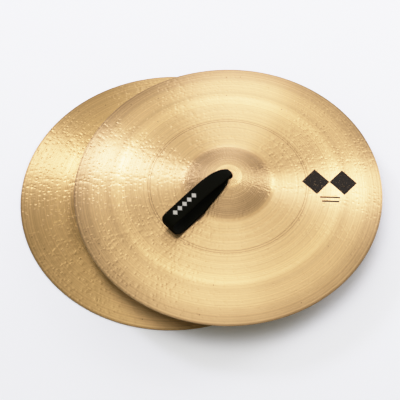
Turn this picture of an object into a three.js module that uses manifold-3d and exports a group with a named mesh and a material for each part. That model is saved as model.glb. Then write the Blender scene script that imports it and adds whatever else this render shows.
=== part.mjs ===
// A pair of orchestral hand cymbals, bells up, the upper one lying over the lower one and off to one side.
// Each cymbal is a thin bronze plate with a leather strap: the strap is a wide loop for the hand, and its two
// ends are slit into four thongs that go down through the hole and are tied in a flat knot inside the bell.
//
// Millimetres, +Z up. The lower cymbal's rim stands on z = 0, and the origin is under the middle of the pair.

import * as THREE from "three";
import { mergeVertices } from "three/addons/utils/BufferGeometryUtils.js";
import Module from "manifold-3d";

const wasm = await Module();
wasm.setup();

const WELD_DISTANCE = 1e-4; // corners closer together than this are one corner

// ---- Driving dimensions -------------------------------------------------------------------------------------

// The cymbal plate.
const RIM_RADIUS = 228.6; // an 18 inch cymbal
const PLATE = 1.4; // thickness of the bronze
const BOW_RISE = 26.5; // rise of the bow, carried on to the axis
const BELL_RADIUS = 67; // where the bell meets the bow
const BELL_RISE = 17.5; // the bell's own height above the bow
const BELL_FILLET = 0.8; // softens the crease round the foot of the bell
const HOLE_RADIUS = 7;
const REST_RING = 1.2; // width of the flat under the rim
const TURN_SEGMENTS = 64;

// The pair: where the upper cymbal lies, measured from the lower one.
const UPPER_SHIFT_X = 83;
const UPPER_SHIFT_Y = -15;
const UPPER_LIFT = 37;

// The strap loop.
const STRAP_WIDTH = 24;
const STRAP_THICKNESS = 2.5;
const CUTTER_HEIGHT = 100; // tall enough for the outline to cut through the whole loop
const NECK_WIDTH = 13; // where the strap is gathered to go down the hole
const TAPER_END = 28; // distance from the axis at which the strap is at its full width
const TAPER_EASE = [0.4, 0.5]; // where the taper leaves the neck and meets the full width, in shares of its end
const STEPS_PER_SPAN = 4; // steps between two points of a loop's middle line
const UPPER_STRAP_TURN = THREE.MathUtils.degToRad(-138.5);
const LOWER_STRAP_TURN = THREE.MathUtils.degToRad(-10);

// The four thongs of a strap and the flat knot they make.
const THONGS = 4;
const KNOT_SIDE = 32;
const KNOT_CORE = 8; // square middle of the knot, where the thongs come down
const KNOT_TOP = 41.2;
const KNOT_DEPTH = 7;
const THONG_GAP = 0.3;
const LEG_FOOT = 1; // height of the leg's lower end above the bottom of the knot
const LEG_CLEAR = 0.1; // how far the leg's top stands out of the hole
const ROOT = { reach: 3, top: 4.5 }; // the turn from the leg into its lobe
const LOBE_EASE = 1.2; // softens the edges of the lobes
const THONG_END = {
  width: 7,
  thickness: 2.2,
  length: 34,
  inside: 4, // how far its root reaches into the lobe
  height: 3.5, // above the bottom of the knot
  droop: THREE.MathUtils.degToRad(10),
};

// ---- Materials ----------------------------------------------------------------------------------------------

const bronze = new THREE.MeshStandardMaterial({ color: 0xd9b778, roughness: 0.3, metalness: 1 });
const blackLeather = new THREE.MeshStandardMaterial({ color: 0x15130f, roughness: 0.6, metalness: 0 });

// ---- Solids -------------------------------------------------------------------------------------------------

// A manifold solid from a closed three.js geometry.
function solidFrom(geometry) {
  const bare = geometry.clone();
  bare.deleteAttribute("normal");
  bare.deleteAttribute("uv");
  const merged = mergeVertices(bare, WELD_DISTANCE);
  return new wasm.Manifold(
    new wasm.Mesh({
      numProp: 3,
      vertProperties: merged.attributes.position.array,
      triVerts: new Uint32Array(merged.index.array),
    }),
  );
}

// A three.js geometry from a manifold solid.
function geometryFrom(solid) {
  const mesh = solid.getMesh();
  const geometry = new THREE.BufferGeometry();
  geometry.setAttribute("position", new THREE.BufferAttribute(mesh.vertProperties, 3));
  geometry.setIndex(new THREE.BufferAttribute(mesh.triVerts, 1));
  geometry.computeVertexNormals();
  return geometry;
}

function namedMesh(name, geometry, material) {
  const mesh = new THREE.Mesh(geometry, material);
  mesh.name = name;
  return mesh;
}

// ---- Cymbal plate -------------------------------------------------------------------------------------------

// Height of the plate's underside at a radius: a shallow bow with a domed bell on it.
function undersideHeight(radius) {
  const bow = BOW_RISE * (1 - (radius / RIM_RADIUS) ** 2);
  const dome = BELL_RISE * (1 - (radius / BELL_RADIUS) ** 2);
  return bow + BELL_FILLET * Math.log1p(Math.exp(dome / BELL_FILLET));
}

const BELL_TOP = PLATE + undersideHeight(HOLE_RADIUS);

function cymbalGeometry() {
  const radii = [HOLE_RADIUS, 20, 33, 45, 55, 62, 66, 69, 74, 105, 145, 187];
  const profile = radii.map((radius) => new THREE.Vector2(radius, undersideHeight(radius)));
  profile.push(new THREE.Vector2(RIM_RADIUS - REST_RING, 0));
  profile.push(new THREE.Vector2(RIM_RADIUS, 0));
  profile.push(new THREE.Vector2(RIM_RADIUS, PLATE));
  for (const radius of radii.toReversed()) {
    profile.push(new THREE.Vector2(radius, undersideHeight(radius) + PLATE));
  }
  profile.push(profile[0].clone());
  return new THREE.LatheGeometry(profile, TURN_SEGMENTS).rotateX(Math.PI / 2);
}

// ---- Strap loop ---------------------------------------------------------------------------------------------

// The middle line of each loop in side view: distance along the strap from the axis, and height above the rim.
// Both go from the neck over the top layer to the fold, and back under along the bell and the bow.
const NECK = [
  [0.5, 47.3],
  [-3.6, 51],
  [0.5, 55],
];
const UNDER_LAYER = [
  [100, 24.7],
  [75, 29.5],
  [50, 36.8],
  [30, 43.4],
  [12, 46.8],
];
const OPEN_LOOP = [
  ...NECK,
  [8, 56.6],
  [35, 55.4],
  [70, 51.8],
  [100, 46.8],
  [113.5, 42],
  [118, 34.5],
  [113.5, 27.2],
  ...UNDER_LAYER,
];
const PRESSED_LOOP = [
  ...NECK,
  [8, 56],
  [20, 52.6],
  [35, 47.2],
  [50, 41.6],
  [75, 34],
  [100, 29.4],
  [112, 28.4],
  [115.5, 25.8],
  [112, 23.6],
  ...UNDER_LAYER,
];

// A closed band of even thickness along a loop's middle line, as a shape with the hand gap as its hole.
function bandShape(middleLine) {
  const curve = new THREE.CatmullRomCurve3(
    middleLine.map(([along, height]) => new THREE.Vector3(along, height, 0)),
    true,
    "centripetal",
  );
  const steps = STEPS_PER_SPAN * middleLine.length;
  const sides = [1, -1].map((side) =>
    Array.from({ length: steps }, (_, step) => {
      const at = curve.getPoint(step / steps);
      const ahead = curve.getTangent(step / steps);
      const out = (side * STRAP_THICKNESS) / 2;
      return new THREE.Vector2(at.x - ahead.y * out, at.y + ahead.x * out);
    }),
  );
  const shape = new THREE.Shape(sides[0]);
  shape.holes.push(new THREE.Path(sides[1].reverse()));
  return shape;
}

// The strap's outline from above: gathered at the neck, then widening to its full width.
function strapOutline() {
  const neck = NECK_WIDTH / 2;
  const full = STRAP_WIDTH / 2;
  const [leave, meet] = TAPER_EASE.map((share) => share * TAPER_END);
  const behind = -10;
  const beyond = 130;
  const outline = new THREE.Shape();
  outline.moveTo(behind, -neck);
  outline.bezierCurveTo(leave, -neck, meet, -full, TAPER_END, -full);
  outline.lineTo(beyond, -full);
  outline.lineTo(beyond, full);
  outline.lineTo(TAPER_END, full);
  outline.bezierCurveTo(meet, full, leave, neck, behind, neck);
  return outline;
}

function strapLoopGeometry(middleLine) {
  const band = new THREE.ExtrudeGeometry(bandShape(middleLine), {
    depth: 2 * STRAP_WIDTH,
    bevelEnabled: false,
  });
  band.translate(0, 0, -STRAP_WIDTH).rotateX(Math.PI / 2);
  const plan = new THREE.ExtrudeGeometry(strapOutline(), {
    depth: CUTTER_HEIGHT,
    bevelEnabled: false,
    curveSegments: 5,
  });
  return geometryFrom(solidFrom(band).intersect(solidFrom(plan)));
}

// ---- Thongs and knot ----------------------------------------------------------------------------------------

// A block with rounded upright corners and eased edges, given by its low and high corners.
function easedBlock(low, high, ease) {
  const [x0, y0, z0] = low;
  const [x1, y1, z1] = high;
  const outline = new THREE.Shape();
  outline.absarc(x1 - 2 * ease, y1 - 2 * ease, ease, 0, Math.PI / 2);
  outline.absarc(x0 + 2 * ease, y1 - 2 * ease, ease, Math.PI / 2, Math.PI);
  outline.absarc(x0 + 2 * ease, y0 + 2 * ease, ease, Math.PI, 1.5 * Math.PI);
  outline.absarc(x1 - 2 * ease, y0 + 2 * ease, ease, 1.5 * Math.PI, 2 * Math.PI);
  const block = new THREE.ExtrudeGeometry(outline, {
    depth: z1 - z0 - 2 * ease,
    bevelSize: ease,
    bevelThickness: ease,
    bevelSegments: 2,
    curveSegments: 3,
  });
  return solidFrom(block.translate(0, 0, z0 + ease));
}

function plainBlock(low, high) {
  const size = high.map((value, axis) => value - low[axis]);
  const middle = high.map((value, axis) => (value + low[axis]) / 2);
  return solidFrom(new THREE.BoxGeometry(...size).translate(...middle));
}

// One thong: down through its quarter of the hole, folded flat as one lobe of the knot, and out as a free end.
// The four lobes lie like a pinwheel round the core, so each thong is the same piece a quarter turn on.
function thongGeometry() {
  const half = KNOT_SIDE / 2;
  const core = KNOT_CORE / 2;
  const gap = THONG_GAP / 2;
  const knotLow = KNOT_TOP - KNOT_DEPTH;
  const foot = [-core + gap, gap, knotLow + LEG_FOOT];
  const leg = plainBlock(foot, [-gap, core - gap, BELL_TOP + LEG_CLEAR]);
  const root = plainBlock(foot, [-gap, core + ROOT.reach, knotLow + ROOT.top]);
  const lobe = easedBlock([-half, core, knotLow], [core - THONG_GAP, half, KNOT_TOP], LOBE_EASE);
  const freeEnd = new THREE.BoxGeometry(THONG_END.length, THONG_END.width, THONG_END.thickness);
  freeEnd.translate(-THONG_END.length / 2, 0, 0);
  freeEnd.rotateY(-THONG_END.droop);
  freeEnd.translate(THONG_END.inside - half, (core + half) / 2, knotLow + THONG_END.height);
  return geometryFrom(leg.add(root).add(lobe).add(solidFrom(freeEnd)));
}

// ---- The pair -----------------------------------------------------------------------------------------------

function handCymbal(name, middleLine, strapTurn) {
  const cymbal = new THREE.Group();
  cymbal.add(namedMesh(`${name}_cymbal`, cymbalGeometry(), bronze));

  const strap = new THREE.Group();
  strap.rotation.z = strapTurn;
  strap.add(namedMesh(`${name}_strap_loop`, strapLoopGeometry(middleLine), blackLeather));
  for (let thong = 0; thong < THONGS; thong++) {
    const mesh = namedMesh(`${name}_strap_thong_${thong + 1}`, thongGeometry(), blackLeather);
    mesh.rotation.z = (thong * 2 * Math.PI) / THONGS;
    strap.add(mesh);
  }
  cymbal.add(strap);
  return cymbal;
}

const handCymbals = new THREE.Group();

const lower = handCymbal("lower", PRESSED_LOOP, LOWER_STRAP_TURN);
lower.position.set(-UPPER_SHIFT_X / 2, -UPPER_SHIFT_Y / 2, 0);

const upper = handCymbal("upper", OPEN_LOOP, UPPER_STRAP_TURN);
upper.position.set(UPPER_SHIFT_X / 2, UPPER_SHIFT_Y / 2, UPPER_LIFT);

handCymbals.add(lower, upper);

export default handCymbals;
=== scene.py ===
"""The looks of a pair of hand cymbals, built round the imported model.

Two lathed and hammered bronze plates lie bells up, one over the other. Each has a black leather strap: a wide
loop over the bell, whose two ends are slit into four thongs that are knotted under the hole.

Everything is in metres, +Z up. Places come from the boxes of the CAD nodes.
"""

import math

import bmesh
import bpy
import numpy as np
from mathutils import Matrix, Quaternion, Vector


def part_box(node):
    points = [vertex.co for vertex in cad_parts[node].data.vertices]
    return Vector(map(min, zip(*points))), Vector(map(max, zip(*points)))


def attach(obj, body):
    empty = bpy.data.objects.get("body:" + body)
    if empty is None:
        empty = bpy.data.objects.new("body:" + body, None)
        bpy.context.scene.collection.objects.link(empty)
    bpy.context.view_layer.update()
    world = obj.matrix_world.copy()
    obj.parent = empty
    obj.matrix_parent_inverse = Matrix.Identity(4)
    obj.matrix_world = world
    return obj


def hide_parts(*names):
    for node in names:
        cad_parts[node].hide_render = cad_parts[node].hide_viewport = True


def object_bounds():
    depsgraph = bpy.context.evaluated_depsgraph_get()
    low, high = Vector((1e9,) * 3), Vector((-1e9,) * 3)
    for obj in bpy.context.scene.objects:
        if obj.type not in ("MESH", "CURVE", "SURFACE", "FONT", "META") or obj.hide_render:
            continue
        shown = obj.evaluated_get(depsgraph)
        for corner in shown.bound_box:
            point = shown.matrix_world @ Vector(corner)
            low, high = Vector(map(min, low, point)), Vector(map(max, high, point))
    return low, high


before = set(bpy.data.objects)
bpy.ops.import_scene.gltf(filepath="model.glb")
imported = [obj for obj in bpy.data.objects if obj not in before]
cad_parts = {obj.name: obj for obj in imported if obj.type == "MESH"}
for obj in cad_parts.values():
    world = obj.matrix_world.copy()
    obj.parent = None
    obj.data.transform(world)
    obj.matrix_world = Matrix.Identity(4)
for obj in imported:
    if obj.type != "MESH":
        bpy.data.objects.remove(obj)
CAD_BOX = [list(corner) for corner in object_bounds()]

MM = 0.001

# ---- Sizes -----------------------------------------------------------------------------------------------

# The cymbal plate, as in the CAD model.
PLATE = 1.4 * MM
BOW_RISE = 26.5 * MM
BELL_RADIUS = 67 * MM
BELL_RISE = 17.5 * MM
BELL_FILLET = 0.8 * MM
HOLE_RADIUS = 7 * MM
REST_RING = 1.2 * MM
EDGE_ROUND = 0.3 * MM

# The mesh of a plate: rings from the hole out to the rim on top, and back to the hole below.
SEGMENTS = 768
EVEN_RINGS = 92
BELL_FOOT_RINGS = (64.4 * MM, 65.8 * MM, 67.2 * MM, 68.4 * MM, 69.8 * MM)
UNDER_RINGS = 12

# Hammer marks: rows of dents from the bell's foot to the rim.
FIRST_ROW = 76 * MM
ROW_GAP = (7 * MM, 11 * MM)
MARK_GAP = (8 * MM, 13 * MM)
MARK_REACH = (1.3 * MM, 2.1 * MM)
MARK_STRETCH = 1.1
SHALLOW_MARK = 0.02 * MM
DEEP_MARK = 0.26 * MM

# Fine grooves that the lathe cut: one round the flat by the hole, and two round the middle of the bow.
GROOVES = (21.3 * MM, 115.2 * MM, 118.6 * MM)
# How dark the painted shade in each groove is.
GROOVE_SHADE_LEVELS = (0.85, 0.6, 0.6)
GROOVE_REACH = 0.6 * MM
GROOVE_DEPTH = 0.12 * MM

# The strap.
STRAP_THICKNESS = 2.5 * MM


def middle_of(node):
    """A CAD node's middle in plan, at the height of its lowest point."""
    low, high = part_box(node)
    return Vector(((low.x + high.x) / 2, (low.y + high.y) / 2, low.z))


RIM_RADIUS = (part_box("lower_cymbal")[1].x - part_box("lower_cymbal")[0].x) / 2


# ---- Camera ----------------------------------------------------------------------------------------------

CAMERA_TARGET = Vector((0, -0.022, 0.04))
CAMERA_DISTANCE = 2.992
CAMERA_AZIMUTH = math.radians(-1.026)
CAMERA_ELEVATION = math.radians(56.28)
CAMERA_ROLL = math.radians(-1.23)
CAMERA_LENS = 182.16
SENSOR = 36


def place_camera():
    ahead = Vector(
        (
            math.sin(CAMERA_AZIMUTH) * math.cos(CAMERA_ELEVATION),
            math.cos(CAMERA_AZIMUTH) * math.cos(CAMERA_ELEVATION),
            -math.sin(CAMERA_ELEVATION),
        )
    )
    data = bpy.data.cameras.new("camera")
    data.lens = CAMERA_LENS
    data.sensor_width = SENSOR
    data.clip_start = 0.1
    data.clip_end = 50
    camera = bpy.data.objects.new("camera", data)
    bpy.context.scene.collection.objects.link(camera)
    camera.location = CAMERA_TARGET - CAMERA_DISTANCE * ahead
    camera.rotation_mode = "QUATERNION"
    camera.rotation_quaternion = ahead.to_track_quat("-Z", "Y") @ Quaternion((0, 0, 1), CAMERA_ROLL)
    bpy.context.scene.camera = camera


# ---- Lights and floor ------------------------------------------------------------------------------------

WORLD_LIGHT = 0.41
BRIGHTEST = 4
SHOULDER = 3
LIGHT_DISTANCE = 2.4
NEUTRAL = (1, 1, 1)
COOL = (1, 1.03, 1.42)
SLIGHTLY_COOL = (1, 1.01, 1.18)
WARM = (1.01, 1, 0.84)


def area_light(name, azimuth, elevation, size, power, tint=NEUTRAL):
    """A round soft light, azimuth degrees round from +X and elevation degrees up, aimed at the cymbals."""
    data = bpy.data.lights.new(name, "AREA")
    data.shape = "DISK"
    data.size = size
    data.energy = power
    data.color = tint
    light = bpy.data.objects.new(name, data)
    bpy.context.scene.collection.objects.link(light)
    turn, rise = math.radians(azimuth), math.radians(elevation)
    towards = Vector((math.cos(turn) * math.cos(rise), math.sin(turn) * math.cos(rise), math.sin(rise)))
    light.location = LIGHT_DISTANCE * towards
    light.rotation_mode = "QUATERNION"
    light.rotation_quaternion = towards.to_track_quat("Z", "Y")
    return light


def light_studio():
    world = bpy.data.worlds.new("studio")
    world.use_nodes = True
    world.node_tree.nodes["Background"].inputs["Color"].default_value = (*WARM, 1)
    world.node_tree.nodes["Background"].inputs["Strength"].default_value = WORLD_LIGHT
    bpy.context.scene.world = world
    area_light("overhead_back", azimuth=90, elevation=84, size=1.9, power=9, tint=SLIGHTLY_COOL)
    area_light("overhead_front", azimuth=250, elevation=78, size=1.6, power=10, tint=SLIGHTLY_COOL)
    area_light("high_left", azimuth=140, elevation=72, size=1.2, power=6.5)
    area_light("high_right", azimuth=45, elevation=70, size=1.2, power=6)
    area_light("back", azimuth=62, elevation=50, size=1.5, power=10, tint=SLIGHTLY_COOL)
    area_light("key_back_left", azimuth=127, elevation=30, size=0.5, power=19, tint=COOL)
    area_light("low_back", azimuth=88, elevation=18, size=1.1, power=15, tint=COOL)
    area_light("low_right", azimuth=35, elevation=18, size=0.9, power=30, tint=SLIGHTLY_COOL)


def lay_floor():
    mesh = bpy.data.meshes.new("floor")
    half = 4
    corners = [(-half, -half), (half, -half), (half, half), (-half, half)]
    mesh.from_pydata([(x, y, 0) for x, y in corners], [], [(0, 1, 2, 3)])
    floor = bpy.data.objects.new("floor", mesh)
    bpy.context.scene.collection.objects.link(floor)
    floor.location.z = CAD_BOX[0][2] - 0.2 * MM
    paint = Nodes("pale_floor")
    paint.shader.inputs["Base Color"].default_value = (0.95, 0.95, 0.95, 1)
    paint.shader.inputs["Roughness"].default_value = 0.9
    paint.shader.inputs["Specular IOR Level"].default_value = 0.1
    mesh.materials.append(paint.material)


# ---- Shader nodes ----------------------------------------------------------------------------------------


class Nodes:
    """A new material and short calls for the nodes that it is made of."""

    def __init__(self, name):
        self.material = bpy.data.materials.new(name)
        self.material.use_nodes = True
        self.tree = self.material.node_tree
        self.shader = self.tree.nodes["Principled BSDF"]

    def feed(self, socket, value):
        if isinstance(value, bpy.types.NodeSocket):
            self.tree.links.new(value, socket)
        else:
            socket.default_value = value

    def add(self, kind, inputs=(), **settings):
        node = self.tree.nodes.new("ShaderNode" + kind)
        for name, value in settings.items():
            setattr(node, name, value)
        for name, value in dict(inputs).items():
            self.feed(node.inputs[name], value)
        return node

    def math(self, operation, *values, clamp=False):
        node = self.add("Math", operation=operation, use_clamp=clamp)
        for socket, value in zip(node.inputs, values):
            self.feed(socket, value)
        return node.outputs[0]

    def scaled(self, value, factor):
        return self.math("MULTIPLY", value, factor)

    def attribute(self, name):
        return self.add("Attribute", attribute_name=name)

    def parts(self, vector):
        node = self.add("SeparateXYZ", {"Vector": vector})
        return node.outputs[0], node.outputs[1], node.outputs[2]

    def noise(self, vector, scale, detail=2, roughness=0.5):
        node = self.add(
            "TexNoise", {"Vector": vector, "Scale": scale, "Detail": detail, "Roughness": roughness}
        )
        return node.outputs["Fac"]

    def noise_along(self, value, scale, detail=2, roughness=0.5):
        node = self.add(
            "TexNoise",
            {"W": value, "Scale": scale, "Detail": detail, "Roughness": roughness},
            noise_dimensions="1D",
        )
        return node.outputs["Fac"]

    def spread(self, value, low, high, to_low=0, to_high=1, smooth=False):
        """Maps low..high onto to_low..to_high, and clamps it."""
        node = self.add(
            "MapRange",
            {"Value": value, "From Min": low, "From Max": high, "To Min": to_low, "To Max": to_high},
            interpolation_type="SMOOTHSTEP" if smooth else "LINEAR",
        )
        return node.outputs[0]

    def ramp(self, value, stops):
        """A grey curve through (position, level) stops."""
        node = self.add("ValToRGB", {"Fac": value})
        node.color_ramp.interpolation = "EASE"
        elements = node.color_ramp.elements
        while len(elements) < len(stops):
            elements.new(0.5)
        for element, (position, level) in zip(elements, stops):
            element.position = position
            element.color = (level, level, level, 1)
        return node.outputs["Color"]

    def mix(self, factor, first, second):
        node = self.add("Mix", data_type="RGBA")
        for name, value in (("Factor_Float", factor), ("A_Color", first), ("B_Color", second)):
            socket = next(s for s in node.inputs if s.identifier == name)
            self.feed(socket, value)
        return next(s for s in node.outputs if s.identifier == "Result_Color")

    def bump(self, height, strength=1.0):
        """A normal from a height in metres."""
        return self.add("Bump", {"Height": height, "Distance": 1.0, "Strength": strength}).outputs["Normal"]


# ---- Bronze ----------------------------------------------------------------------------------------------

LIGHT_GOLD = (0.94, 0.585, 0.262, 1)
DEEP_GOLD = (0.93, 0.57, 0.222, 1)
# Painted shade: the plates' undersides are darkened to this share, so that they and their reflections in the
# gap between the plates look shaded.
UNDERSIDE_PAINTED_SHADE = 0.5
BELL_RING_PITCH = 2.4 * MM
BELL_RING_SHADE = 0.09
SMALL_DENT_PITCH = 6.4 * MM
SMALL_DENT_DEPTH = 0.2 * MM
BOWL_REACH = 0.45  # in shares of the pitch
INK = (0.016, 0.0115, 0.007, 1)

# How light the bronze is from the axis out to the rim: (share of the radius, level). These levels are partly
# the bronze's own finish and partly painted light and shade. The flat by the hole is painted bright: its own
# unlathed finish and a painted highlight. The hammered bell's flank is painted dark: its own hammering and
# painted shade on its slope. The rim is painted dark as painted shade along its edge.
BELL_TONE_AND_PAINTED_LIGHT = [(0, 0.95), (0.09, 0.9), (0.1, 0.6), (0.2, 0.45), (0.25, 0.45), (0.3, 0.75)]
# Painted shade: a dark band along the rim's edge.
RIM_PAINTED_SHADE = [(0.98, 0.55), (1, 0.35)]
# The upper bow has one bright turned band, with a darker ring outside it, and grows darker towards the rim:
# partly the lathe's own bands and partly painted light and shade.
UPPER_TONE_AND_PAINTED_LIGHT = [*BELL_TONE_AND_PAINTED_LIGHT, (0.5, 0.77), (0.64, 0.83), (0.71, 1), (0.77, 0.77), (0.83, 0.82), *RIM_PAINTED_SHADE]
# The lower bow is painted darker overall than the upper one, as painted shade, and grows darker towards the
# rim.
LOWER_TONE_AND_PAINTED_LIGHT = [*BELL_TONE_AND_PAINTED_LIGHT, (0.45, 0.8), (0.7, 0.75), (0.9, 0.6), *RIM_PAINTED_SHADE]

# The ink on the upper cymbal: two lozenges side by side, and two thin bars in front of them.
MARK_PLACE = (150 * MM, 7 * MM)
MARK_TILT = math.radians(3)
LOZENGES_APART = 41 * MM
LOZENGE_HALF = (20.5 * MM, 22 * MM)
BARS = [((-1.5 * MM, -27 * MM), 15 * MM), ((-1 * MM, -34 * MM), 13 * MM)]
BAR_HALF_HEIGHT = 1.2 * MM


def ink_mask(nodes, x, y):
    """1 on the printed mark, 0 off it."""
    x = nodes.math("SUBTRACT", x, MARK_PLACE[0])
    y = nodes.math("SUBTRACT", y, MARK_PLACE[1])
    across = nodes.math("ADD", nodes.scaled(x, math.cos(MARK_TILT)), nodes.scaled(y, math.sin(MARK_TILT)))
    up = nodes.math("SUBTRACT", nodes.scaled(y, math.cos(MARK_TILT)), nodes.scaled(x, math.sin(MARK_TILT)))
    beside = nodes.math("SUBTRACT", nodes.math("ABSOLUTE", across), LOZENGES_APART / 2)
    reach = nodes.math(
        "ADD",
        nodes.scaled(nodes.math("ABSOLUTE", beside), 1 / LOZENGE_HALF[0]),
        nodes.scaled(nodes.math("ABSOLUTE", up), 1 / LOZENGE_HALF[1]),
    )
    mask = nodes.math("LESS_THAN", reach, 1)
    for (middle_x, middle_y), half_length in BARS:
        beyond_end = nodes.math("ABSOLUTE", nodes.math("SUBTRACT", across, middle_x))
        beyond_side = nodes.math("ABSOLUTE", nodes.math("SUBTRACT", up, middle_y))
        in_length = nodes.math("LESS_THAN", beyond_end, half_length)
        in_height = nodes.math("LESS_THAN", beyond_side, BAR_HALF_HEIGHT)
        mask = nodes.math("MAXIMUM", mask, nodes.math("MULTIPLY", in_length, in_height))
    return mask


def groove_shade(nodes, radius):
    """Painted shade: a dark line in each turned groove."""
    shade = 1
    for groove, level in zip(GROOVES, GROOVE_SHADE_LEVELS):
        away = nodes.math("ABSOLUTE", nodes.math("SUBTRACT", radius, groove))
        line = nodes.spread(away, 0, 1.8 * GROOVE_REACH, level, 1)
        shade = nodes.math("MULTIPLY", shade, line)
    return shade


def pit_shade(nodes, x, y):
    """A few small dark casting pits."""
    plan = nodes.add("CombineXYZ", {"X": x, "Y": y}).outputs[0]
    cells = nodes.add("TexVoronoi", {"Vector": plan, "Scale": 48}, voronoi_dimensions="2D")
    pit = nodes.spread(cells.outputs["Distance"], 0.035, 0.055, 1, 0)
    chosen = nodes.math("GREATER_THAN", nodes.parts(cells.outputs["Color"])[0], 0.93)
    return nodes.math("SUBTRACT", 1, nodes.math("MULTIPLY", nodes.math("MULTIPLY", pit, chosen), 0.55))


def turn_of(nodes, x, y):
    return nodes.math("ARCTAN2", y, x)


def bell_streaks(nodes, turn, radius):
    """Height of the hammering on the bell: short streaks that run outwards."""
    outwards = nodes.add("CombineXYZ", {"X": nodes.scaled(turn, 18), "Y": nodes.scaled(radius, 180)})
    return nodes.scaled(nodes.noise(outwards.outputs[0], 1, detail=2), 0.8 * MM)


def small_dents(nodes, x, y):
    """Height of the small hammer marks on the bow, between the deeper ones of the mesh."""
    plan = nodes.add("CombineXYZ", {"X": x, "Y": y}).outputs[0]
    cells = nodes.add("TexVoronoi", {"Vector": plan, "Scale": 1 / SMALL_DENT_PITCH}, voronoi_dimensions="2D")
    bowl = nodes.spread(cells.outputs["Distance"], 0, BOWL_REACH, -SMALL_DENT_DEPTH, 0, smooth=True)
    return nodes.math("MULTIPLY", bowl, nodes.parts(cells.outputs["Color"])[0])


def bronze_material(name, gold, tone_and_painted_light, marked):
    """Bronze, turned on a lathe and hammered: fine rings round the axis, and a grain that follows them."""
    nodes = Nodes(name)
    place = nodes.attribute("from_axis").outputs["Vector"]
    x, y, _ = nodes.parts(place)
    radius = nodes.math("SQRT", nodes.math("ADD", nodes.math("MULTIPLY", x, x), nodes.math("MULTIPLY", y, y)))
    share = nodes.math("DIVIDE", radius, RIM_RADIUS)

    fine_rings = nodes.noise_along(radius, 800, detail=2, roughness=0.7)
    lathe_rings = nodes.noise_along(radius, 420, detail=0)
    broad_rings = nodes.noise_along(radius, 160, detail=3, roughness=0.6)
    patches = nodes.noise(place, 22, detail=3)
    # The ring-by-ring levels hold painted light and shade as well as the bronze's own colour.
    level = nodes.math("MULTIPLY", nodes.ramp(share, tone_and_painted_light), nodes.spread(fine_rings, 0.2, 0.8, 0.84, 1.12))
    level = nodes.math("MULTIPLY", level, nodes.spread(broad_rings, 0.25, 0.75, 0.93, 1.07))
    level = nodes.math("MULTIPLY", level, nodes.spread(patches, 0.3, 0.7, 0.96, 1.04))
    level = nodes.math("MULTIPLY", level, nodes.spread(lathe_rings, 0.25, 0.75, 0.92, 1.07))
    # Painted shade on the underside of the plate.
    underside_shade_mask = nodes.attribute("underside_shade_mask").outputs["Fac"]
    level = nodes.math("MULTIPLY", level, nodes.spread(underside_shade_mask, 0, 1, 1, UNDERSIDE_PAINTED_SHADE))
    on_bell = nodes.spread(radius, BELL_RADIUS - 3 * MM, BELL_RADIUS + 3 * MM, 1, 0)
    ring = nodes.math("SINE", nodes.scaled(radius, math.tau / BELL_RING_PITCH))
    bell_rings = nodes.scaled(nodes.math("MULTIPLY", ring, on_bell), BELL_RING_SHADE)
    level = nodes.math("MULTIPLY", level, nodes.math("ADD", 1, bell_rings))
    # Painted shade in the turned grooves.
    level = nodes.math("MULTIPLY", level, groove_shade(nodes, radius))
    level = nodes.math("MULTIPLY", level, pit_shade(nodes, x, y))
    colour = nodes.mix(level, (0, 0, 0, 1), gold)
    roughness = nodes.spread(broad_rings, 0.3, 0.7, 0.42, 0.48)
    if marked:
        worn = nodes.spread(nodes.noise(place, 700, detail=2), 0.28, 0.33, 0.6, 1)
        ink = nodes.math("MULTIPLY", ink_mask(nodes, x, y), worn)
        colour = nodes.mix(ink, colour, INK)
        nodes.feed(nodes.shader.inputs["Metallic"], nodes.math("SUBTRACT", 1, ink))
    else:
        nodes.shader.inputs["Metallic"].default_value = 1
    nodes.feed(nodes.shader.inputs["Base Color"], colour)
    nodes.feed(nodes.shader.inputs["Roughness"], roughness)
    nodes.shader.inputs["Specular IOR Level"].default_value = 0.04
    nodes.shader.inputs["Anisotropic"].default_value = 0.95
    nodes.shader.inputs["Anisotropic Rotation"].default_value = 0.25
    tangent = nodes.add("Tangent", direction_type="RADIAL", axis="Z")
    nodes.feed(nodes.shader.inputs["Tangent"], tangent.outputs[0])

    peening = nodes.math("MULTIPLY", bell_streaks(nodes, turn_of(nodes, x, y), radius), on_bell)
    dents = nodes.math("MULTIPLY", small_dents(nodes, x, y), nodes.math("SUBTRACT", 1, on_bell))
    rings = nodes.math("ADD", nodes.scaled(fine_rings, 0.02 * MM), nodes.scaled(lathe_rings, 0.06 * MM))
    height = nodes.math("ADD", rings, nodes.math("ADD", peening, dents))
    nodes.feed(nodes.shader.inputs["Normal"], nodes.bump(height))
    return nodes.material


# ---- Cymbal plates ---------------------------------------------------------------------------------------


def underside_height(radius):
    """Height of the plate's underside at a radius: a shallow bow with a domed bell on it."""
    bow = BOW_RISE * (1 - (radius / RIM_RADIUS) ** 2)
    dome = BELL_RISE * (1 - (radius / BELL_RADIUS) ** 2)
    return bow + BELL_FILLET * np.log1p(np.exp(dome / BELL_FILLET))


def grooved(radius):
    """How far the turned grooves lie below the bow at a radius."""
    return sum(GROOVE_DEPTH * np.exp(-(((radius - groove) / GROOVE_REACH) ** 2)) for groove in GROOVES)


def sink_mark(relief, radii, centre, angle, reach, depth):
    """Sinks one dent, longer outwards than across, into a relief of rings by segments."""
    rings = np.flatnonzero(abs(radii - centre) < 2.6 * reach * MARK_STRETCH)
    half_span = int(math.ceil(2.6 * reach / centre / math.tau * SEGMENTS))
    middle = int(round(angle / math.tau * SEGMENTS))
    segments = np.arange(middle - half_span, middle + half_span + 1)
    along = (segments * math.tau / SEGMENTS - angle) * centre
    away = ((radii[rings, None] - centre) / MARK_STRETCH) ** 2 + along[None, :] ** 2
    relief[rings[:, None], segments[None, :] % SEGMENTS] -= depth * np.exp(-away / (2 * reach**2))


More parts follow.
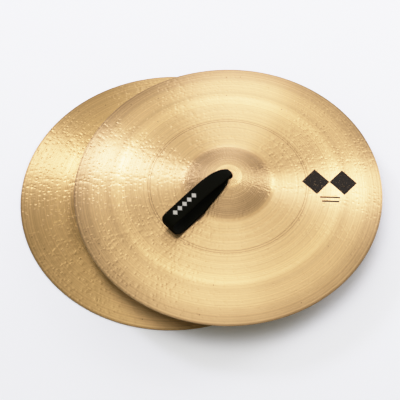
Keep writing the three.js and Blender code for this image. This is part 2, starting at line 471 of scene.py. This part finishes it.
def hammered_relief(radii, rng):
    relief = np.zeros((len(radii), SEGMENTS))
    row = FIRST_ROW
    while row < RIM_RADIUS - 5 * MM:
        count = int(math.tau * row / rng.uniform(*MARK_GAP))
        for mark in range(count):
            angle = (mark + rng.uniform(-0.4, 0.4)) * math.tau / count
            centre = row + rng.normal(0, 1.4 * MM)
            depth = SHALLOW_MARK + (DEEP_MARK - SHALLOW_MARK) * rng.uniform() ** 2
            sink_mark(relief, radii, centre, angle, rng.uniform(*MARK_REACH), depth)
        row += rng.uniform(*ROW_GAP)
    return relief


def waves(x, y, rng, length, height, count=10):
    """A gentle unevenness: a sum of plane waves in random directions."""
    total = np.zeros_like(x)
    for _ in range(count):
        turn, phase = rng.uniform(0, math.tau, 2)
        pitch = math.tau / (length * rng.uniform(0.7, 1.5))
        total += np.sin(pitch * (x * math.cos(turn) + y * math.sin(turn)) + phase)
    return total * height / math.sqrt(count)


def plate_rings():
    """Radii and heights of the rings round a plate's section, and how many of them are on its top."""
    even = np.linspace(HOLE_RADIUS + EDGE_ROUND, RIM_RADIUS - EDGE_ROUND, EVEN_RINGS)
    across_groove = np.linspace(-1.5, 1.5, 5) * GROOVE_REACH
    top = np.sort(np.concatenate([even, BELL_FOOT_RINGS, *(groove + across_groove for groove in GROOVES)]))
    under = np.linspace(RIM_RADIUS - REST_RING, HOLE_RADIUS + EDGE_ROUND, UNDER_RINGS)
    hole_top = underside_height(HOLE_RADIUS) + PLATE
    hole_low = underside_height(HOLE_RADIUS)
    radii = np.concatenate(
        [top, [RIM_RADIUS, RIM_RADIUS, RIM_RADIUS - EDGE_ROUND], under, [HOLE_RADIUS, HOLE_RADIUS]]
    )
    rim = [PLATE - EDGE_ROUND, EDGE_ROUND, 0]
    under_heights = underside_height(under)
    under_heights[0] = 0
    top_heights = underside_height(top) + PLATE - grooved(top)
    hole = [hole_low + EDGE_ROUND, hole_top - EDGE_ROUND]
    heights = np.concatenate([top_heights, rim, under_heights, hole])
    return radii, heights, len(top)


def grid_faces(rings, columns, closed_rings=True):
    """Quads of a grid that wraps round its columns and, if closed, its rings."""
    faces = []
    for ring in range(rings if closed_rings else rings - 1):
        here, after = ring * columns, ((ring + 1) % rings) * columns
        for column in range(columns):
            beside = (column + 1) % columns
            faces.append((here + column, after + column, after + beside, here + beside))
    return faces


def new_piece(name, points, faces, material, smooth_angle=40):
    mesh = bpy.data.meshes.new(name)
    mesh.from_pydata(points, [], faces)
    working = bmesh.new()
    working.from_mesh(mesh)
    bmesh.ops.recalc_face_normals(working, faces=working.faces)
    working.to_mesh(mesh)
    working.free()
    mesh.polygons.foreach_set("use_smooth", [True] * len(mesh.polygons))
    mesh.set_sharp_from_angle(angle=math.radians(smooth_angle))
    mesh.materials.append(material)
    piece = bpy.data.objects.new(name, mesh)
    bpy.context.scene.collection.objects.link(piece)
    return piece


def note_places(piece, name, places):
    """Stores a vector on each vertex, for the material to read."""
    stored = piece.data.attributes.new(name, "FLOAT_VECTOR", "POINT")
    stored.data.foreach_set("vector", np.asarray(places, np.float32).ravel())


def make_plate(node, material, seed):
    rng = np.random.default_rng(seed)
    radii, heights, top_count = plate_rings()
    turn = np.arange(SEGMENTS) * math.tau / SEGMENTS
    x = radii[:, None] * np.cos(turn)
    y = radii[:, None] * np.sin(turn)
    z = np.repeat(heights[:, None], SEGMENTS, axis=1)
    z[:top_count] += hammered_relief(radii[:top_count], rng)
    inner = slice(0, top_count - 1)
    z[inner] += waves(x[inner], y[inner], rng, 60 * MM, 0.02 * MM)
    places = np.stack([x, y, z], axis=-1).reshape(-1, 3)
    centre = middle_of(node)
    points = (places + np.array(centre)).tolist()
    piece = new_piece(f"{node}_plate", points, grid_faces(len(radii), SEGMENTS), material)
    note_places(piece, "from_axis", places)
    # Marks the underside, where the material paints shade.
    underside_shade_mask = np.zeros(z.shape)
    underside_shade_mask[top_count + 1 :] = 1
    stored = piece.data.attributes.new("underside_shade_mask", "FLOAT", "POINT")
    stored.data.foreach_set("value", underside_shade_mask.astype(np.float32).ravel())
    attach(piece, node)
    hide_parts(node)
    return piece


# ---- Leather ---------------------------------------------------------------------------------------------


LEATHER_DARK = (0.0021, 0.0020, 0.0004, 1)
LEATHER_WORN = (0.0035, 0.0030, 0.0014, 1)
PALE_INK = (0.46, 0.43, 0.36, 1)

# A row of small pale lozenges printed on top of the upper strap, from one distance along it to another.
LOZENGE_ROW = (70 * MM, 117 * MM)
LOZENGE_PITCH = 9.4 * MM
LOZENGE_REACH = (4.1 * MM, 4.8 * MM)
LOZENGE_ROW_ACROSS = -1.5 * MM


def pale_lozenges(nodes, along, across, outward):
    """1 on the printed row of lozenges, 0 off it."""
    steps = nodes.math("DIVIDE", nodes.math("SUBTRACT", along, LOZENGE_ROW[0]), LOZENGE_PITCH)
    beside = nodes.scaled(nodes.math("SUBTRACT", nodes.math("FRACT", steps), 0.5), LOZENGE_PITCH)
    above = nodes.math("SUBTRACT", across, LOZENGE_ROW_ACROSS)
    reach = nodes.math(
        "ADD",
        nodes.scaled(nodes.math("ABSOLUTE", beside), 1 / LOZENGE_REACH[0]),
        nodes.scaled(nodes.math("ABSOLUTE", above), 1 / LOZENGE_REACH[1]),
    )
    mask = nodes.spread(reach, 0.94, 1.02, 1, 0)
    for inside in (
        nodes.math("GREATER_THAN", along, LOZENGE_ROW[0]),
        nodes.math("LESS_THAN", along, LOZENGE_ROW[1]),
        nodes.math("GREATER_THAN", outward, 0.3 * STRAP_THICKNESS),
    ):
        mask = nodes.math("MULTIPLY", mask, inside)
    return mask


def leather_material(name, printed):
    """Black strap leather: a fine grain, faint creases across it, and edges worn a little brown."""
    nodes = Nodes(name)
    place = nodes.attribute("on_strap").outputs["Vector"]
    along, across, outward = nodes.parts(place)
    grain = nodes.add("TexVoronoi", {"Vector": place, "Scale": 1100}).outputs["Distance"]
    cloud = nodes.noise(place, 60, detail=4)
    creases = nodes.noise_along(nodes.math("ADD", along, nodes.scaled(cloud, 0.01)), 260, detail=2)
    depth = nodes.scaled(nodes.math("ABSOLUTE", outward), 1 / STRAP_THICKNESS)
    cut_edge = nodes.spread(depth, 0.32, 0.46, 1, 0)
    worn = nodes.math("MAXIMUM", nodes.spread(cloud, 0.45, 0.8), nodes.scaled(cut_edge, 0.6))
    colour = nodes.mix(worn, LEATHER_DARK, LEATHER_WORN)
    if printed:
        rubbed = nodes.spread(nodes.noise(place, 900), 0.3, 0.42, 0.55, 1)
        mask = nodes.math("MULTIPLY", pale_lozenges(nodes, along, across, outward), rubbed)
        colour = nodes.mix(mask, colour, PALE_INK)
    nodes.feed(nodes.shader.inputs["Base Color"], colour)
    nodes.feed(nodes.shader.inputs["Roughness"], nodes.spread(cloud, 0.3, 0.7, 0.6, 0.75))
    nodes.shader.inputs["Specular IOR Level"].default_value = 0.02
    height = nodes.math("ADD", nodes.scaled(grain, 0.06 * MM), nodes.scaled(creases, 0.12 * MM))
    nodes.feed(nodes.shader.inputs["Normal"], nodes.bump(height))
    return nodes.material


# ---- Strap loops -----------------------------------------------------------------------------------------

# A loop's middle line and width: distance along the strap from the axis, height above the rim, shift to one
# side, and width. It goes up out of the hole, along the top layer, round the fold and back underneath.
OPEN_LOOP = [
    (0.5, 47.3, 0, 9),
    (-3.4, 51, 0, 9.5),
    (0.8, 54.4, -0.3, 13),
    (8, 56.2, -0.5, 18.5),
    (20, 56.2, -1.4, 23),
    (35, 55.4, -2, 24),
    (70, 51.8, -1, 24),
    (100, 46.8, 0, 24),
    (112.5, 44.4, 0.3, 24),
    (117.8, 41.6, 1, 24),
    (119, 36.5, 3, 24),
    (117.8, 30.5, 5.5, 24),
    (112, 26.6, 7.5, 24),
    (100, 24.7, 7.5, 24),
    (75, 29.5, 6.5, 24),
    (50, 36.8, 5, 24),
    (30, 43.4, 3.8, 22.5),
    (12, 47.2, 2.8, 17.5),
]
PRESSED_LOOP = [
    (0.5, 47.3, 0, 9),
    (-3.4, 51, 0, 9.5),
    (0.8, 54.8, 0, 14),
    (8, 56, 0, 20.5),
    (20, 52.6, 0, 24),
    (35, 47.2, 0, 24),
    (50, 41.6, 0, 24),
    (75, 34, 0, 24),
    (100, 29.4, 0, 24),
    (112, 28.4, 0, 24),
    (115.5, 25.8, 0, 24),
    (112, 23.6, 0, 24),
    (100, 24.7, 0, 24),
    (75, 29.5, 0, 24),
    (50, 36.8, 0, 24),
    (30, 43.4, 0, 22.5),
    (12, 47.2, 0, 17.5),
]
UPPER_STRAP_TURN = math.radians(-138.5)
LOWER_STRAP_TURN = math.radians(-10)
LOOP_STEPS_PER_SPAN = 10
CORNER_STEPS = 4


def closed_curve(points, steps):
    """Points along a smooth closed curve through the given ones: a centripetal Catmull-Rom spline."""
    points = np.asarray(points, float)
    count = len(points)
    curve = []
    for index in range(count):
        p0, p1, p2, p3 = (points[(index + offset) % count] for offset in (-1, 0, 1, 2))
        t0 = 0.0
        t1 = t0 + math.sqrt(np.linalg.norm(p1 - p0))
        t2 = t1 + math.sqrt(np.linalg.norm(p2 - p1))
        t3 = t2 + math.sqrt(np.linalg.norm(p3 - p2))
        for t in np.linspace(t1, t2, steps, endpoint=False):
            a1 = (t1 - t) / (t1 - t0) * p0 + (t - t0) / (t1 - t0) * p1
            a2 = (t2 - t) / (t2 - t1) * p1 + (t - t1) / (t2 - t1) * p2
            a3 = (t3 - t) / (t3 - t2) * p2 + (t - t2) / (t3 - t2) * p3
            b1 = (t2 - t) / (t2 - t0) * a1 + (t - t0) / (t2 - t0) * a2
            b2 = (t3 - t) / (t3 - t1) * a2 + (t - t1) / (t3 - t1) * a3
            curve.append((t2 - t) / (t2 - t1) * b1 + (t - t1) / (t2 - t1) * b2)
    return np.array(curve)


def ease(value):
    value = np.clip(value, 0, 1)
    return value * value * (3 - 2 * value)


def strap_section(half_width, half_thickness):
    """A strap's section, as (across, out) points: flat faces and rounded edges."""
    corner = 0.8 * half_thickness
    section = []
    for start, across_sign, out_sign in ((0, 1, 1), (1, -1, 1), (2, -1, -1), (3, 1, -1)):
        for step in range(CORNER_STEPS + 1):
            angle = (start + step / CORNER_STEPS) * math.pi / 2
            section.append(
                (
                    across_sign * (half_width - corner) + corner * math.cos(angle),
                    out_sign * (half_thickness - corner) + corner * math.sin(angle),
                )
            )
        if start in (0, 2):
            for share in (0.75, 0.5, 0.25, 0, -0.25, -0.5, -0.75):
                crown = 0.12 * half_thickness * (1 - share**2)
                section.append((across_sign * share * half_width, out_sign * (half_thickness + crown)))
    return section


def sweep(line, sideways, half_widths, half_thicknesses, closed):
    """A strap swept along a line: its points, its faces, and for each point (along, across, outward)."""
    line = np.asarray(line, float)
    ahead = np.roll(line, -1, axis=0) - np.roll(line, 1, axis=0)
    if not closed:
        ahead[0] = line[1] - line[0]
        ahead[-1] = line[-1] - line[-2]
    run = np.concatenate([[0], np.cumsum(np.linalg.norm(np.diff(line, axis=0), axis=1))])
    points, places = [], []
    stations = zip(line, ahead, run, half_widths, half_thicknesses)
    for middle, step, along, half_width, half_thickness in stations:
        out = np.cross(step, sideways)
        out /= np.linalg.norm(out)
        for across, outward in strap_section(half_width, half_thickness):
            points.append(middle + across * sideways + outward * out)
            places.append((along, across, outward))
    columns = len(points) // len(line)
    faces = grid_faces(len(line), columns, closed_rings=closed)
    if not closed:
        faces.append(tuple(range(columns)))
        faces.append(tuple(range(len(points) - columns, len(points))))
    return np.array(points), faces, places


def leather_piece(node, cymbal_node, body, turn, shells, material):
    """One leather piece from swept shells given round the cymbal's axis, turned with its strap."""
    spin = np.array([[math.cos(turn), -math.sin(turn), 0], [math.sin(turn), math.cos(turn), 0], [0, 0, 1]])
    points, faces, places = [], [], []
    for shell_points, shell_faces, shell_places in shells:
        first = len(points)
        points.extend(shell_points @ spin.T + np.array(middle_of(cymbal_node)))
        faces.extend(tuple(first + corner for corner in face) for face in shell_faces)
        places.extend(shell_places)
    piece = new_piece(f"{node}_leather", [tuple(point) for point in points], faces, material)
    note_places(piece, "on_strap", places)
    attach(piece, body)
    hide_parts(node)
    return piece


def make_strap_loop(node, cymbal_node, body, middle_line, turn, material):
    curve = closed_curve(np.array(middle_line) * MM, LOOP_STEPS_PER_SPAN)
    along, height, side, widths = curve.T
    line = np.stack([along, side, height], axis=-1)
    half_thicknesses = np.full(len(line), STRAP_THICKNESS / 2)
    loop = sweep(line, np.array([0, 1.0, 0]), widths / 2, half_thicknesses, closed=True)
    leather_piece(node, cymbal_node, body, turn, [loop], material)


# ---- Thongs and knots ------------------------------------------------------------------------------------

THONG_CURLS = (0.6 * MM, -0.4 * MM, 0.3 * MM, -0.7 * MM)
THONG_THICKNESS = 2.2 * MM

# A thong's leg, coming down through its quarter of the hole and turning into the knot: (y, z).
LEG_X = -2.0 * MM
LEG_SIDE = 3.4 * MM
LEG_LINE = [(2.0, 46.2), (2.0, 43), (2.0, 40), (2.5, 38.5), (4.2, 37.7), (8, 37.7)]

# Its flat part, folded in three as one lobe of the knot and then leaving as a free end: (x, z).
LOBE_Y = 10 * MM
LOBE_WIDTH = 11.6 * MM
FREE_WIDTH = 7 * MM
FREE_FROM = -15 * MM
FREE_TO = -26 * MM
LOBE_LINE = [
    (2.2, 40.05),
    (-6, 40.1),
    (-13.6, 40.0),
    (-14.8, 38.85),
    (-13.6, 37.7),
    (-6, 37.7),
    (1.2, 37.7),
    (2.5, 36.5),
    (1.2, 35.35),
    (-6, 35.3),
    (-14, 35.4),
    (-24, 34.6),
    (-35, 33.4),
    (-46, 31.9),
]
THONG_STEPS_PER_SPAN = 6


def open_curve(points, steps):
    """Points along a smooth open curve through the given ones."""
    points = np.asarray(points, float)
    before = 2 * points[0] - points[1]
    after = 2 * points[-1] - points[-2]
    whole = closed_curve(np.vstack([before, points, after]), steps)
    return whole[steps : len(points) * steps + 1]


def thong_shells(curl):
    """The two shells of one thong before it is turned to its place. The curl bends its end to one side."""
    leg_curve = open_curve(np.array(LEG_LINE) * MM, THONG_STEPS_PER_SPAN)
    leg_line = np.column_stack([np.full(len(leg_curve), LEG_X), leg_curve])
    half_side = np.full(len(leg_line), LEG_SIDE / 2)
    leg = sweep(leg_line, np.array([1.0, 0, 0]), half_side, half_side * 0.9, closed=False)

    lobe_curve = open_curve(np.array(LOBE_LINE) * MM, THONG_STEPS_PER_SPAN)
    run = np.arange(len(lobe_curve)) / (len(lobe_curve) - 1)
    last_layer = run > 0.6
    freed = ease((FREE_FROM - lobe_curve[:, 0]) / (FREE_FROM - FREE_TO)) * last_layer
    sway = curl * np.square(np.clip(FREE_FROM - lobe_curve[:, 0], 0, None) / (30 * MM)) * last_layer
    lobe_line = np.column_stack([lobe_curve[:, 0], LOBE_Y + sway, lobe_curve[:, 1]])
    widths = LOBE_WIDTH + (FREE_WIDTH - LOBE_WIDTH) * freed
    half_thicknesses = np.full(len(lobe_line), THONG_THICKNESS / 2)
    lobe = sweep(lobe_line, np.array([0, 1.0, 0]), widths / 2, half_thicknesses, closed=False)
    return [leg, lobe]


def make_thongs(strap_node, cymbal_node, body, turn, material):
    """The four thongs of a strap, which lie like a pinwheel round the hole and make its knot."""
    for thong, curl in enumerate(THONG_CURLS):
        quarter_turn = turn + thong * math.tau / len(THONG_CURLS)
        node = f"{strap_node}_thong_{thong + 1}"
        leather_piece(node, cymbal_node, body, quarter_turn, thong_shells(curl), material)


# ---- The pair --------------------------------------------------------------------------------------------


def set_exposure_curve():
    """Film-like highlights: straight in the shadows, with a soft shoulder towards white."""
    view = bpy.context.scene.view_settings
    view.view_transform = "Standard"
    view.look = "None"
    view.use_curve_mapping = True
    curves = view.curve_mapping
    curves.white_level = (BRIGHTEST, BRIGHTEST, BRIGHTEST)
    combined = curves.curves[3]
    for level in (0.25, 0.5, 0.75, 1, 1.25, 1.5, 2, 3):
        combined.points.new(level / BRIGHTEST, level / (1 + level**SHOULDER) ** (1 / SHOULDER))
    curves.update()


place_camera()
light_studio()
lay_floor()
set_exposure_curve()

leather = leather_material("black_leather", printed=False)
printed_leather = leather_material("black_leather_printed", printed=True)
plain_bronze = bronze_material("bronze_plain", DEEP_GOLD, LOWER_TONE_AND_PAINTED_LIGHT, marked=False)
marked_bronze = bronze_material("bronze_marked", LIGHT_GOLD, UPPER_TONE_AND_PAINTED_LIGHT, marked=True)

make_plate("lower_cymbal", plain_bronze, seed=11)
make_strap_loop("lower_strap_loop", "lower_cymbal", "lower_strap", PRESSED_LOOP, LOWER_STRAP_TURN, leather)
make_thongs("lower_strap", "lower_cymbal", "lower_knot", LOWER_STRAP_TURN, leather)

make_plate("upper_cymbal", marked_bronze, seed=23)
upper_turn = UPPER_STRAP_TURN
make_strap_loop("upper_strap_loop", "upper_cymbal", "upper_strap", OPEN_LOOP, upper_turn, printed_leather)
make_thongs("upper_strap", "upper_cymbal", "upper_knot", upper_turn, leather)
